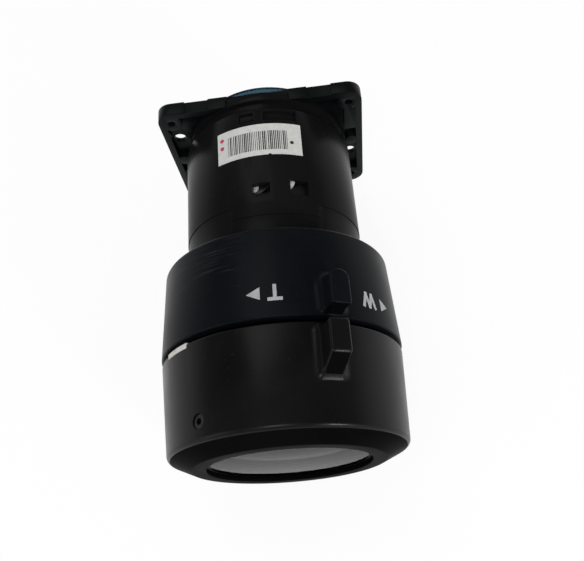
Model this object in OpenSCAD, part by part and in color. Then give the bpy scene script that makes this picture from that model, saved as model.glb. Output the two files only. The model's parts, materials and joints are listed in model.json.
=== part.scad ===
// Zoom lens for a video projector: a flanged fixed barrel, a zoom ring that moves two
// lens groups through a slotted cam barrel, and a focus ring that screws the front group
// in and out on a helicoid. The optical axis lies along Y with the front towards -Y and
// the flange's upper edge towards +Z. The origin is on the axis, in the flange's seat.

/* [Mount flange] */
// Width of the mounting flange on each side of its bore
flange_side = 8.2; // [7.4:0.1:10]
// Height of the mounting flange above and below its bore
flange_edge = 0.95; // [0.9:0.05:2]
// Depth of the flange's rim wall
flange_t = 3.6; // [3:0.1:4.5]
// Thickness of the recessed web
web_t = 1.4; // [1.2:0.1:1.8]
// Width of the rim wall
rim_w = 1.8; // [1.4:0.1:2]
// Radius of the flange's corners
flange_corner_r = 4; // [3:0.25:4.5]
// Distance from a mounting screw to the flange's side edge
screw_inset = 3.7; // [3.5:0.1:3.8]
// Height of a mounting screw above or below the axis
screw_rise = 7.6; // [7:0.1:9]
// Radius of a mounting screw hole
screw_hole_r = 1.7; // [1.5:0.05:1.75]
// Distance from a corner boss to the flange's edges
boss_inset = 3.6; // [3.4:0.1:3.8]
// Radius of a corner boss
boss_r = 2.9; // [2.4:0.1:3]
// Radius of the blind dimple in a corner boss
dimple_r = 1; // [0.8:0.1:1.3]
// Depth of that dimple
dimple_depth = 1.5; // [1:0.1:2]
// Width of the ledge across from a mounting screw
ledge_w = 5; // [4.6:0.1:5.1]
// Length of that ledge
ledge_len = 8.6; // [7:0.2:8.8]
// Height of the ledge's lower end above the axis
ledge_from = 5.4; // [5:0.2:6]
// Radius of the boss half way up each side
side_boss_r = 1.8; // [1.4:0.1:2]
// Distance from that boss to the flange's side edge
side_boss_inset = 3.1; // [2.9:0.1:3.3]
// How far the edge pads stand proud of the flange
edge_pad_h = 0.4; // [0.2:0.1:0.6]
// Width of a corner edge pad
corner_pad_w = 7.9; // [6:0.1:9]
// Width of a middle edge pad
middle_pad_w = 5.2; // [4:0.1:6]
// Distance from the axis to a middle edge pad
middle_pad_x = 8; // [7:0.1:9]

/* [Neck] */
// How much smaller the barrel's seat on the flange is than the neck
hub_step = 1; // [0.7:0.05:1.1]
// Length of that seat
hub_len = 2.2; // [2:0.1:2.6]
// How much smaller the waist between seat and neck is than the neck
waist_step = 2.2; // [1.8:0.1:2.8]
// Length of the waist
waist_len = 4; // [3.4:0.2:5]
// Outer radius of the neck
neck_r = 23; // [22:0.1:25]
// Wall of the neck
neck_wall = 1.5; // [1.4:0.05:1.6]
// Length of the neck's full band
neck_len = 28; // [27:0.5:30]
// Length of the raised tongue in front of the band
tongue_len = 3.4; // [2.4:0.2:4]
// Length of the low band between the tongue and the zoom ring
low_len = 6.7; // [6:0.1:8]
// How far the low band lies below the neck
low_step = 0.2; // [0.1:0.05:0.25]
// Length of the thick wall behind the cam barrel
rear_wall_len = 7.2; // [7:0.1:7.4]
// Distance from the neck's rear edge to the rim slots
rim_slot_from = 0.7; // [0.5:0.1:1]
// Length of the rim slots along the axis
rim_slot_len = 2.9; // [2:0.1:3.2]
// Depth of the rim slots
rim_slot_depth = 0.9; // [0.5:0.1:1]
// Distance from the neck's rear edge to the label
label_from = 4.8; // [4.4:0.1:6]
// Length of the label along the axis
label_len = 9.5; // [7:0.1:10]
// Thickness of the label
label_t = 0.1; // [0.06:0.02:0.2]
// Distance from the neck's rear edge to the middle of the windows
window_at = 23.9; // [23:0.1:24.5]
// Length of the left window along the axis
left_window_len = 3; // [2:0.1:3.6]
// Length of the right window along the axis
right_window_len = 4.2; // [3:0.1:4.4]

/* [Zoom ring] */
// How far the zoom ring's rear edge stands above the neck
zoom_rise = 5.6; // [5.5:0.05:6]
// How much the zoom ring's radius grows towards its front
zoom_taper = 1.06; // [0.8:0.02:1.4]
// Wall of the zoom ring at its rear edge
zoom_wall = 2; // [1.9:0.1:2.2]
// Length of the zoom ring
zoom_len = 22.4; // [21.6:0.2:24]
// Length of the ring's rear lip
zoom_lip = 1.6; // [1.2:0.1:2]
// Width of each bearing rib under the ring
rib_w = 2.6; // [2:0.1:3]
// How far the land between the ribs stands above the neck
land_step = 1.2; // [1:0.1:1.4]
// Distance from the front rib to the ring's front edge
rib_back = 1.9; // [1.6:0.1:2.4]
// Chamfer on the edges of both rings
ring_chamfer = 0.4; // [0.2:0.1:0.6]
// Turn of the zoom ring to each side
zoom_turn = 27; // [20:1:28]
// Distance from the zoom ring's rear edge to the drive screws
drive_at = 11.3; // [10.8:0.1:11.6]
// Radius of a zoom drive screw
drive_r = 1.5; // [1.2:0.1:1.6]
// Radius of its head
drive_head_r = 2.4; // [2.2:0.1:2.6]
// Thickness of its head
drive_head_t = 0.8; // [0.6:0.1:0.9]
// Distance from the ring's front edge to the middle of the printing
mark_back = 5.7; // [5:0.1:6.5]
// Size of the printed letters
mark_h = 3.9; // [3:0.1:4.5]
// Width of the letters' strokes
mark_stroke = 0.8; // [0.6:0.05:0.9]
// Thickness of the printing
mark_t = 0.06; // [0.04:0.01:0.1]

/* [Focus ring] */
// Gap between the zoom ring and the focus ring
ring_gap = 1.3; // [1.2:0.1:2]
// How far the focus ring's rear edge lies below the zoom ring's front edge
focus_drop = 0.18; // [0:0.02:0.4]
// How much the focus ring's radius shrinks towards its front corner
focus_taper = 1.1; // [0.8:0.02:1.3]
// Wall of the focus ring at its front corner
focus_wall = 1.18; // [1.1:0.02:1.3]
// Length of the focus ring's side
focus_len = 21.8; // [21.4:0.2:24]
// Length of the sloping nose
nose_len = 2.6; // [2.4:0.1:3]
// Width of the nose's bevel, seen from the front
nose_w = 5.58; // [5.3:0.02:6]
// Width of the flat band between the bevel and the front opening
nose_band_w = 3.4; // [3.2:0.05:3.5]
// Thickness of the lip round the opening
lip_t = 1; // [0.8:0.05:1.1]
// Focus travel towards the zoom ring
focus_in = 0.8; // [0.4:0.1:0.8]
// Focus travel away from the zoom ring
focus_out = 1.6; // [0.8:0.1:2]
// Radius of a grub screw
grub_r = 1.6; // [1.2:0.1:1.7]
// Distance from the ring's front corner to the grub screws
grub_back = 4.1; // [4:0.1:6]
// Depth of the glide pad's notch in the ring's rear edge
pad_notch = 1; // [0.8:0.1:1.4]
// How far the glide pad stands into the gap
pad_proud = 0.3; // [0.2:0.05:0.35]

/* [Finger tabs] */
// Width of the finger tabs
tab_w = 4.7; // [4:0.1:5.4]
// Height of the zoom tab above the zoom ring's front edge
zoom_tab_rise = 4.94; // [3.5:0.02:6.3]
// Length of the zoom tab
zoom_tab_len = 8.2; // [7:0.1:9]
// Distance from the zoom tab to the ring's front edge
zoom_tab_back = 1; // [0.8:0.1:1.4]
// Rounding of the zoom tab's front corners
tab_corner_r = 0.6; // [0.4:0.1:1]
// Height of the focus tab above the zoom ring's front edge
focus_tab_rise = 5.54; // [3.5:0.02:6.3]
// Distance from the focus tab to the ring's rear edge
focus_tab_from = 1.2; // [0.8:0.1:1.6]
// Length of the focus tab's flat top
focus_tab_len = 7; // [5:0.1:8]
// Length of the slope in which the focus tab falls to the front
focus_tab_slope = 4.6; // [4:0.1:6]

/* [Zoom mechanism] */
// Wall of the cam barrel
cam_wall = 1.43; // [1.3:0.01:1.5]
// Gap between the cam barrel and the thick rear wall
cam_end_gap = 1.8; // [1.6:0.1:2]
// Width of the cam barrel's two bearing bands
cam_band_w = 2.2; // [1.6:0.1:2.4]
// How far the cam barrel lies below its bands
cam_relief = 0.23; // [0.1:0.01:0.3]
// Radius of a glide pad on the cam barrel
cam_pad_r = 1.3; // [1:0.1:1.4]
// Radius of a follower roller
roller_r = 1.6; // [1.4:0.05:1.65]
// Radius of a follower pin
pin_r = 0.7; // [0.5:0.05:0.8]
// Play of a roller in its slots
roller_play = 0.15; // [0.12:0.01:0.2]
// Depth of the straight guide grooves inside the neck
groove_depth = 0.85; // [0.7:0.05:0.9]
// Travel of the variator to each side
variator_travel = 6.5; // [4:0.1:6.5]
// Travel of the compensator to each side
compensator_travel = 2.5; // [1.6:0.1:2.5]
// Distance from the neck's rear edge to the variator's rollers
variator_at = 21.8; // [21.6:0.1:22.2]
// Distance from the neck's rear edge to the compensator's rollers
compensator_at = 9.9; // [9.8:0.1:10.2]

/* [Lens groups] */
// Length of the variator cell
variator_len = 15.4; // [15:0.1:16]
// Distance from the variator cell's rear end to its rollers
variator_roller_from = 2.8; // [2.6:0.1:3]
// Wall of the variator cell round its rollers
variator_wall = 2.3; // [2:0.1:2.4]
// Width of the variator's carrier round its glass
variator_rim = 3.7; // [3.3:0.1:4.1]
// Width of the seat that holds the variator's glass
variator_seat_w = 1.8; // [1.2:0.1:2.6]
// Length of the compensator cell
compensator_len = 7.6; // [7.4:0.1:7.8]
// Distance from the compensator cell's rear end to its rollers
compensator_roller_from = 4; // [3.8:0.1:4.1]
// Width of the compensator's carrier round its glass
compensator_rim = 4.7; // [4.3:0.1:5.1]
// Width of the seat that holds the compensator's glass
compensator_seat_w = 1.4; // [1:0.1:2]
// How far the aperture ring reaches into the clear opening
aperture_w = 3.1; // [1.6:0.1:5.5]
// Edge thickness of the glasses that the zoom moves
moving_rim = 3.5; // [3.2:0.1:3.6]
// Wall of the front section of the fixed barrel
thread_wall = 2; // [1.9:0.1:2.1]
// Wall of the helicoid ring
helicoid_wall = 1.87; // [1.8:0.01:1.95]
// Wall of the front cell
cell_wall = 3.1; // [3:0.05:3.2]
// Thickness of the front cell's captured flange
cell_flange_t = 1.3; // [1.1:0.1:1.5]
// Distance from the captured flange to the focus ring's front corner
cell_flange_back = 4.1; // [3.9:0.1:4.4]
// Length of the front cell's tail
tail_len = 9.5; // [9.2:0.1:9.8]
// Wall of that tail
tail_wall = 3.65; // [3.4:0.05:3.8]
// Width of the seat that holds the tail glass
tail_seat_w = 1.55; // [1.2:0.05:2.5]
// Edge thickness of the front glass
front_rim = 3.8; // [3.4:0.1:4]
// How far the front glass's face stands in front of its rim
front_step = 0.8; // [0.6:0.1:1]
// Edge thickness of the middle glass
middle_rim = 5; // [4.6:0.1:5.4]
// How much smaller the rear glass that shows behind the flange is than the neck
rear_glass_step = 4; // [3.9:0.1:4.2]
// How far the rear glass's edge reaches behind the flange
rear_glass_out = 3.1; // [2.6:0.1:3.4]
// How much smaller the rear cell's tube is than the rear glass
rear_cell_step = 1.65; // [1.5:0.05:2]
// Wall of the rear cell's tube
rear_cell_wall = 1.75; // [1.5:0.05:2]
// Radius of the front cell's guide keys
key_r = 1.2; // [1:0.1:1.3]

/* [Fits] */
// Radial gap of a part that turns or slides on a bearing
run_gap = 0.07; // [0.04:0.01:0.09]
// Gap between a seated part and its seat
seat_gap = 0.05; // [0.03:0.01:0.07]
// Gap between parts that pass each other
free_gap = 0.3; // [0.2:0.02:0.32]

/* [Hidden] */
$fn = 96;

// Colours as the eye sees the pieces
body_black = [0.07, 0.07, 0.075];
ring_black = [0.09, 0.09, 0.095];
inner_black = [0.14, 0.14, 0.14];
label_white = [0.92, 0.92, 0.9];
nylon_white = [0.88, 0.88, 0.85];
glass_tint = [0.55, 0.7, 0.72];
steel_grey = [0.55, 0.55, 0.57];
alloy_grey = [0.4, 0.4, 0.42];

// Overrun of every cut past the face that it leaves
cut = 1;
// Facets on which shallow faces are drawn
glass_fn = 360;

// Turns about the axis in degrees, from the flange's upper edge towards +X
zoom_tab_turn = 28;
focus_tab_turn = 25.5;
label_turns = [-28, 27.3];
rim_slot_turns = [[-12, -2.6], [3.8, 25]];
tongue_turns = [-20, 36];
left_window_turns = [-5.8, 5.1];
right_window_turns = [17.5, 29.2];
guide_turn = 17;
cam_pad_turn = -6;
drive_turns = [140, -140];
key_turns = [60, 180, 300];
grub_turns = [-35, 85, 205];
pad_turns = [-57.5, -40];
flange_screw_turns = [45, 135, 225, 315];
thirds = [0, 120, 240];
left_arrow_turn = -5.4;
letter_t_turn = 3.9;
letter_w_turn = 49.1;
right_arrow_turn = 60.3;
bar_share = 0.32;
letter_share = 0.48;
arrow_share = 0.39;

// Spare turn at each end of a slot, and the pieces that make up a sloping slot
slot_spare_turn = 0.8;
slot_steps = 6;
slot_lap_share = 1.14;

// Radii that follow from the neck, and the flange that follows from its bore
hub_r = neck_r - hub_step;
waist_r = neck_r - waist_step;
zoom_rear_r = neck_r + zoom_rise;
zoom_front_r = zoom_rear_r + zoom_taper;
focus_rear_r = zoom_front_r - focus_drop;
focus_front_r = focus_rear_r - focus_taper;
nose_r = focus_front_r - nose_w;
opening_r = nose_r - nose_band_w;
zoom_tab_r = zoom_front_r + zoom_tab_rise;
focus_tab_r = zoom_front_r + focus_tab_rise;
rear_glass_r = neck_r - rear_glass_step;
rear_cell_r = rear_glass_r - rear_cell_step;
flange_bore_r = rear_glass_r + free_gap;
flange_w = 2 * (flange_bore_r + flange_side);
flange_h = 2 * (flange_bore_r + flange_edge);

// Stations along the axis, counted from the flange's seat towards the front
s_waist = web_t + hub_len;
s_neck = s_waist + waist_len;
s_tongue = s_neck + neck_len;
s_low = s_tongue + tongue_len;
s_zoom = s_low + low_len;
s_zoom_end = s_zoom + zoom_len;
s_focus = s_zoom_end + ring_gap;
s_corner = s_focus + focus_len;
s_nose = s_corner + nose_len;
s_lip = s_nose - lip_t;

// Fixed barrel, inside and under the zoom ring
end_play = 0.2;
stop_gap = 0.5;
rib_gap = 0.8;
s_rear_wall = web_t + rear_wall_len;
s_window = s_neck + window_at;
s_rib = s_zoom + zoom_lip + rib_gap;
s_front_rib = s_zoom_end - rib_back - rib_w;
s_step = s_zoom_end + rib_gap / 2;
bore_r = neck_r - neck_wall;
low_r = neck_r - low_step;
tongue_drop = low_step / 5;
land_r = neck_r + land_step;
zoom_bore_r = zoom_rear_r - zoom_wall;
rib_r = zoom_bore_r - run_gap;
rear_bore_r = rear_cell_r + seat_gap;

// Flange screws, which hold the barrel from behind
flange_screw_r = 0.8;
flange_screw_head_r = 1.25;
flange_screw_head_t = 0.65;
flange_screw_end = web_t + 0.85 * hub_len;
flange_screw_circle_r = flange_bore_r + free_gap + flange_screw_head_r;

// Rear group
rear_plate_out = 0.9;
rear_seat_depth = 1.5;
rear_seat_w = 0.8;
rear_seat_r = rear_glass_r - rear_seat_w;
rear_dome = 1.4;
rear_shelf_t = 0.8;
rear_spacer_len = 2.6;
rear_rim = 3.6;
rear_retainer_t = 1.8;
rear_tube_r = rear_cell_r - rear_cell_wall;
rear_clear_r = rear_tube_r - 1.5 * rear_shelf_t;
s_rear_seat = rear_seat_depth - rear_plate_out;
s_rear_shelf = s_rear_seat + rear_shelf_t;
s_rear_spacer = s_rear_shelf + rear_spacer_len;
s_rear_rim = s_rear_spacer + rear_rim;
s_rear_end = s_rear_rim + rear_retainer_t;

// Focus drive
focus_bore_r = focus_front_r - focus_wall;
helicoid_r = focus_bore_r - seat_gap;
helicoid_bore_r = helicoid_r - helicoid_wall;
helicoid_from = 1.4;
capture_recess_r = helicoid_r - 0.56 * helicoid_wall;
capture_t = 1;
thread_r = helicoid_bore_r - run_gap;
thread_bore_r = thread_r - thread_wall;
s_cell_flange = s_corner - cell_flange_back;
s_cell_flange_end = s_cell_flange + cell_flange_t;
s_shoulder = s_cell_flange - end_play;
s_capture = s_cell_flange_end + end_play;
s_helicoid = s_focus + helicoid_from;
s_helicoid_end = s_capture + capture_t;
s_thread_end = s_cell_flange - focus_in - stop_gap;
nose_slope = nose_len / (focus_front_r - nose_r);
s_cone = s_lip - nose_slope * (focus_bore_r - nose_r);
s_grub = s_corner - grub_back;
grub_sink = 0.25;
grub_tip_r = capture_recess_r + grub_sink;

// Front group
cell_r = thread_bore_r - run_gap;
cell_bore_r = cell_r - cell_wall;
cell_glass_r = cell_bore_r - seat_gap;
cell_flange_r = capture_recess_r - end_play;
head_r = cell_r + free_gap;
capture_bore_r = head_r + free_gap;
shelf_depth = 1.8;
shelf_t = 1.2;
air_gap = 4.8;
front_retainer_t = 0.5;
key_in = 1.2;
cell_shelf_r = cell_bore_r - shelf_depth;
cell_clear_r = opening_r - rib_gap;
tail_r = bore_r - free_gap;
tail_bore_r = tail_r - tail_wall;
tail_clear_r = tail_bore_r - tail_seat_w;
tail_glass_r = tail_bore_r - seat_gap;
tail_retainer_t = 1.4;
tail_rim = 6.2;
s_cell = s_step + focus_in + 2 * free_gap;
s_tail = s_cell - tail_len;
s_tail_glass = s_tail + tail_retainer_t;
s_tail_shelf = s_tail_glass + tail_rim;
s_middle = s_tail_shelf + shelf_t + air_gap;
s_front_spacer = s_middle + middle_rim;
s_front_retainer_end = s_lip - free_gap;
s_front_retainer = s_front_retainer_end - front_retainer_t;
s_front_glass = s_front_retainer - front_rim;
s_head_end = s_front_retainer_end - 2 * free_gap;
s_key = s_middle;

// Cam barrel and what it moves
cam_r = bore_r - run_gap;
cam_inner_r = cam_r - cam_wall;
cam_body_r = cam_r - cam_relief;
carrier_r = cam_inner_r - free_gap;
variator_glass_r = carrier_r - variator_rim;
variator_clear_r = variator_glass_r - variator_seat_w;
compensator_glass_r = carrier_r - compensator_rim;
compensator_clear_r = compensator_glass_r - compensator_seat_w;
aperture_r = compensator_clear_r - aperture_w;
s_cam = s_rear_wall + cam_end_gap;
s_cam_end = s_tail - focus_in - stop_gap;
s_drive = s_zoom + drive_at;
s_variator_roller = s_neck + variator_at;
s_compensator_roller = s_neck + compensator_at;
s_variator = s_variator_roller - variator_roller_from;
s_compensator = s_compensator_roller - compensator_roller_from;
slot_r = roller_r + roller_play;
drive_play = 0.1;
drive_slot_r = drive_r + drive_play;
drive_sink = 0.15;
roller_end_r = bore_r + groove_depth - free_gap;
pin_end_r = roller_end_r - free_gap;
pin_start_r = carrier_r - variator_wall;

// Stacks of glass in the two moving cells
cell_step = 1;
spacer_t = 0.6;
retainer_t = 1.2;
aperture_t = 0.4;
s_variator_shelf = s_variator + 2 * variator_roller_from - 2 * free_gap;
s_variator_rear = s_variator_shelf + cell_step;
s_variator_spacer = s_variator_rear + moving_rim;
s_variator_front = s_variator_spacer + spacer_t;
s_variator_retainer = s_variator_front + moving_rim;
s_aperture = s_compensator + cell_step;
s_compensator_glass = s_aperture + aperture_t;
s_compensator_retainer = s_compensator_glass + moving_rim;

// Radius of a tapered ring's outside at a station
function zoom_surface_r(s) =
    zoom_rear_r + (zoom_front_r - zoom_rear_r) * (s - s_zoom) / zoom_len;
function focus_surface_r(s) =
    focus_rear_r + (focus_front_r - focus_rear_r) * (s - s_focus) / focus_len;
// Radius of the sphere that swells by a sag within a base radius
function sphere_r(base, sag) = (base * base + sag * sag) / (2 * sag);

// Stands the pieces, drawn with the axis upright, into their place along Y
module on_axis() {
    rotate([90, 0, 0]) children();
}

// Carries a shape from the flange's upper edge round to a turn
module at_turn(turn) {
    rotate([0, 0, -turn]) children();
}

// Solid of revolution from an outline of radius and station
module turned(outline) {
    rotate_extrude() polygon(outline);
}

// Plain ring between two stations
module sleeve(outer, inner, from, to) {
    turned([[inner, from], [outer, from], [outer, to], [inner, to]]);
}

// Part of such a ring, between two turns
module sleeve_part(outer, inner, from, to, turns) {
    rotate([0, 0, 90 - turns[1]])
        rotate_extrude(angle = turns[1] - turns[0])
            translate([inner, from]) square([outer - inner, to - from]);
}

// Round rod that points away from the axis
module radial_rod(r, station, turn, from, to) {
    at_turn(turn)
        translate([0, from, station])
            rotate([-90, 0, 0]) cylinder(r = r, h = to - from);
}

// Flat outline raised away from the axis, with its upper side to the rear
module radial_plate(station, turn, from, to) {
    at_turn(turn)
        translate([0, from, station])
            rotate([-90, 0, 0]) linear_extrude(to - from) children();
}

// Rectangle with round corners about the origin
module round_rectangle(w, h, r) {
    square([w - 2 * r, h], center = true);
    square([w, h - 2 * r], center = true);
    for (x = [-1, 1], y = [-1, 1])
        translate([x * (w / 2 - r), y * (h / 2 - r)]) circle(r = r);
}

// Slot with round ends that runs along the axis, from one end's middle to the other's
module axial_slot(r, station, turn, back, forward, from, to) {
    radial_plate(station, turn, from, to) {
        translate([-r, -forward]) square([2 * r, back + forward]);
        translate([0, -forward]) circle(r = r);
        translate([0, back]) circle(r = r);
    }
}

// Sphere that a glass face is part of, with its pole at the origin
module face_sphere(base, sag) {
    translate([0, 0, -sphere_r(base, sag)])
        sphere(r = sphere_r(base, sag), $fn = glass_fn);
}

// Swelling of a glass face out of the plane at the origin
module swelling(base, sag) {
    intersection() {
        translate([0, 0, sag]) face_sphere(base, sag);
        translate([0, 0, -sag / 2]) cylinder(r = base, h = 2 * sag, $fn = glass_fn);
    }
}

// Glass with a flat edge: a positive sag swells and a negative one is hollow
module glass(r, clear, rim, rear_sag, front_sag) {
    difference() {
        union() {
            cylinder(r = r, h = rim, $fn = glass_fn);
            if (front_sag > 0) translate([0, 0, rim]) swelling(clear, front_sag);
            if (rear_sag > 0) mirror([0, 0, 1]) swelling(clear, rear_sag);
        }
        if (front_sag < 0)
            translate([0, 0, rim + front_sag]) mirror([0, 0, 1]) face_sphere(clear, -front_sag);
        if (rear_sag < 0)
            translate([0, 0, -rear_sag]) face_sphere(clear, -rear_sag);
    }
}

// Outline of the flange, with its edge pads
module flange_outline() {
    round_rectangle(flange_w, flange_h, flange_corner_r);
    intersection() {
        round_rectangle(flange_w, flange_h + 2 * edge_pad_h, flange_corner_r);
        for (side = [-1, 1]) {
            translate([side * (flange_w - corner_pad_w) / 2, 0])
                square([corner_pad_w, 2 * flange_h], center = true);
            translate([side * (middle_pad_x + middle_pad_w / 2), 0])
                square([middle_pad_w, 2 * flange_h], center = true);
        }
    }
}

// Rim wall, bosses and ledges that stand on the web
module flange_walls() {
    difference() {
        flange_outline();
        round_rectangle(flange_w - 2 * rim_w, flange_h - 2 * rim_w, flange_corner_r - rim_w);
    }
    for (x = [-1, 1], y = [-1, 1])
        translate([x * (flange_w / 2 - boss_inset), y * (flange_h / 2 - boss_inset)])
            circle(r = boss_r);
    for (side = [-1, 1]) {
        translate([side * (flange_w / 2 - side_boss_inset), 0]) circle(r = side_boss_r);
        translate([side * (flange_w - ledge_w) / 2, side * (ledge_from + ledge_len / 2)])
            square([ledge_w, ledge_len], center = true);
    }
}

module mount_flange() {
    color(body_black) on_axis() difference() {
        union() {
            linear_extrude(web_t) flange_outline();
            difference() {
                linear_extrude(flange_t) flange_walls();
                translate([0, 0, web_t]) cylinder(r = hub_r + free_gap, h = flange_t);
            }
        }
        translate([0, 0, -cut]) cylinder(r = flange_bore_r, h = web_t + 2 * cut);
        for (side = [-1, 1])
            translate([side * (flange_w / 2 - screw_inset), -side * screw_rise, -cut])
                cylinder(r = screw_hole_r, h = flange_t + 2 * cut);
        for (x = [-1, 1], y = [-1, 1])
            translate([x * (flange_w / 2 - boss_inset), y * (flange_h / 2 - boss_inset),
                    flange_t - dimple_depth])
                cylinder(r = dimple_r, h = dimple_depth + cut);
        for (turn = flange_screw_turns)
            at_turn(turn) translate([0, flange_screw_circle_r, -cut]) {
                cylinder(r = flange_screw_r + seat_gap, h = web_t + 2 * cut);
                cylinder(r = flange_screw_head_r + seat_gap, h = flange_screw_head_t + cut);
            }
    }
}

module flange_screws() {
    color(steel_grey) on_axis() for (turn = flange_screw_turns)
        at_turn(turn) translate([0, flange_screw_circle_r, 0]) {
            cylinder(r = flange_screw_r, h = flange_screw_end);
            cylinder(r = flange_screw_head_r, h = flange_screw_head_t);
        }
}

// Outside and inside of the fixed barrel
module barrel_body() {
    turned([
        [rear_bore_r, web_t], [hub_r, web_t], [hub_r, s_waist], [waist_r, s_waist],
        [waist_r, s_neck], [neck_r, s_neck], [neck_r, s_tongue], [low_r, s_tongue],
        [low_r, s_rib], [rib_r, s_rib], [rib_r, s_rib + rib_w], [land_r, s_rib + rib_w],
        [land_r, s_front_rib], [rib_r, s_front_rib], [rib_r, s_front_rib + rib_w],
        [thread_r, s_front_rib + rib_w], [thread_r, s_thread_end],
        [thread_bore_r, s_thread_end], [thread_bore_r, s_step], [bore_r, s_step],
        [bore_r, s_rear_wall], [rear_bore_r, s_rear_wall]
    ]);
    sleeve_part(neck_r - tongue_drop, low_r - low_step, s_tongue - low_step, s_low,
        tongue_turns);
}

// Slot round the barrel in which a drive screw swings
module drive_slot(turn) {
    reach = zoom_turn + slot_spare_turn + asin(drive_slot_r / bore_r);
    sleeve_part(land_r + cut, bore_r - cut, s_drive - drive_slot_r, s_drive + drive_slot_r,
        [turn - reach, turn + reach]);
}

module fixed_barrel() {
    groove_from = s_compensator_roller - compensator_travel - slot_r - free_gap;
    groove_to = s_variator_roller + variator_travel + slot_r + free_gap;
    color(body_black) on_axis() difference() {
        barrel_body();
        for (turns = rim_slot_turns)
            sleeve_part(neck_r + cut, neck_r - rim_slot_depth, s_neck + rim_slot_from,
                s_neck + rim_slot_from + rim_slot_len, turns);
        sleeve_part(neck_r + cut, bore_r - cut, s_window - left_window_len / 2,
            s_window + left_window_len / 2, left_window_turns);
        sleeve_part(neck_r + cut, bore_r - cut, s_window - right_window_len / 2,
            s_window + right_window_len / 2, right_window_turns);
        for (turn = thirds)
            at_turn(guide_turn + turn)
                translate([-slot_r, bore_r - cut, groove_from])
                    cube([2 * slot_r, groove_depth + cut, groove_to - groove_from]);
        for (turn = drive_turns) drive_slot(turn);
        for (turn = key_turns)
            axial_slot(key_r + run_gap, s_key, turn, focus_in + end_play,
                focus_out + end_play, thread_bore_r - cut, thread_r + cut);
        for (turn = flange_screw_turns)
            at_turn(turn) translate([0, flange_screw_circle_r, 0])
                cylinder(r = flange_screw_r + seat_gap, h = flange_screw_end + seat_gap);
    }
}

module barrel_label() {
    color(label_white) on_axis()
        sleeve_part(neck_r + label_t, neck_r, s_neck + label_from,
            s_neck + label_from + label_len, label_turns);
}

module rear_cell() {
    color(inner_black) on_axis() turned([
        [rear_seat_r + seat_gap, -rear_plate_out], [rear_glass_r, -rear_plate_out],
        [rear_glass_r, web_t], [rear_cell_r, web_t], [rear_cell_r, s_rear_end],
        [rear_tube_r, s_rear_end], [rear_tube_r, s_rear_shelf],
        [rear_clear_r, s_rear_shelf], [rear_clear_r, s_rear_seat],
        [rear_seat_r + seat_gap, s_rear_seat]
    ]);
}

module rear_lens_back() {
    color(glass_tint) on_axis() {
        translate([0, 0, -rear_glass_out])
            glass(rear_glass_r, rear_seat_r, rear_glass_out - rear_plate_out, rear_dome, 0);
        translate([0, 0, -rear_plate_out])
            cylinder(r = rear_seat_r, h = rear_seat_depth, $fn = glass_fn);
    }
}

module rear_lens_spacer() {
    color(inner_black) on_axis()
        sleeve(rear_tube_r - seat_gap, rear_clear_r, s_rear_shelf, s_rear_spacer);
}

module rear_lens_front() {
    color(glass_tint) on_axis() translate([0, 0, s_rear_spacer])
        glass(rear_tube_r - seat_gap, rear_clear_r - seat_gap, rear_rim,
            rear_spacer_len / 2, -rear_rim / 3);
}

module rear_lens_retainer() {
    color(inner_black) on_axis()
        sleeve(rear_tube_r - seat_gap, rear_clear_r, s_rear_rim, s_rear_end);
}

// Finger tab of the zoom ring, round at the rear
module zoom_tab() {
    station = s_zoom_end - zoom_tab_back;
    radial_plate(station, zoom_tab_turn, zoom_bore_r + zoom_wall / 2, zoom_tab_r) {
        translate([-tab_w / 2, tab_corner_r])
            square([tab_w, zoom_tab_len - tab_corner_r - tab_w / 2]);
        translate([-tab_w / 2 + tab_corner_r, 0])
            square([tab_w - 2 * tab_corner_r, zoom_tab_len / 2]);
        for (side = [-1, 1])
            translate([side * (tab_w / 2 - tab_corner_r), tab_corner_r])
                circle(r = tab_corner_r);
        translate([0, zoom_tab_len - tab_w / 2]) circle(r = tab_w / 2);
    }
}

module zoom_ring() {
    head_from = zoom_surface_r(s_drive) - drive_sink - drive_head_t;
    color(ring_black) on_axis() difference() {
        union() {
            turned([
                [low_r + free_gap, s_zoom], [zoom_rear_r - ring_chamfer, s_zoom],
                [zoom_surface_r(s_zoom + ring_chamfer), s_zoom + ring_chamfer],
                [zoom_surface_r(s_zoom_end - ring_chamfer), s_zoom_end - ring_chamfer],
                [zoom_front_r - ring_chamfer, s_zoom_end], [zoom_bore_r, s_zoom_end],
                [zoom_bore_r, s_zoom + zoom_lip], [low_r + free_gap, s_zoom + zoom_lip]
            ]);
            zoom_tab();
        }
        for (turn = drive_turns) {
            radial_rod(drive_r + seat_gap, s_drive, turn, zoom_bore_r - cut, zoom_front_r);
            radial_rod(drive_head_r + seat_gap, s_drive, turn, head_from, zoom_front_r + cut);
        }
    }
}

// Stroke of a letter along the line between two points
module stroke(a, b) {
    run = b - a;
    translate(a) rotate(atan2(run[1], run[0]))
        translate([-mark_stroke / 2, -mark_stroke / 2])
            square([norm(run) + mark_stroke, mark_stroke]);
}

// Letters and arrow as they stand on the ring, with their tops to the front
module letter_t() {
    tall = mark_h - mark_stroke;
    stroke([-bar_share * mark_h, -tall / 2], [bar_share * mark_h, -tall / 2]);
    stroke([0, -tall / 2], [0, tall / 2]);
}

module letter_w() {
    tall = mark_h - mark_stroke;
    top = letter_share * mark_h;
    foot = top / 2;
    stroke([-top, -tall / 2], [-foot, tall / 2]);
    stroke([-foot, tall / 2], [0, -tall / 2]);
    stroke([0, -tall / 2], [foot, tall / 2]);
    stroke([foot, tall / 2], [top, -tall / 2]);
}

module arrow(side) {
    half = arrow_share * mark_h;
    polygon([[side * half, 0], [-side * half, half], [-side * half, -half]]);
}

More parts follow.
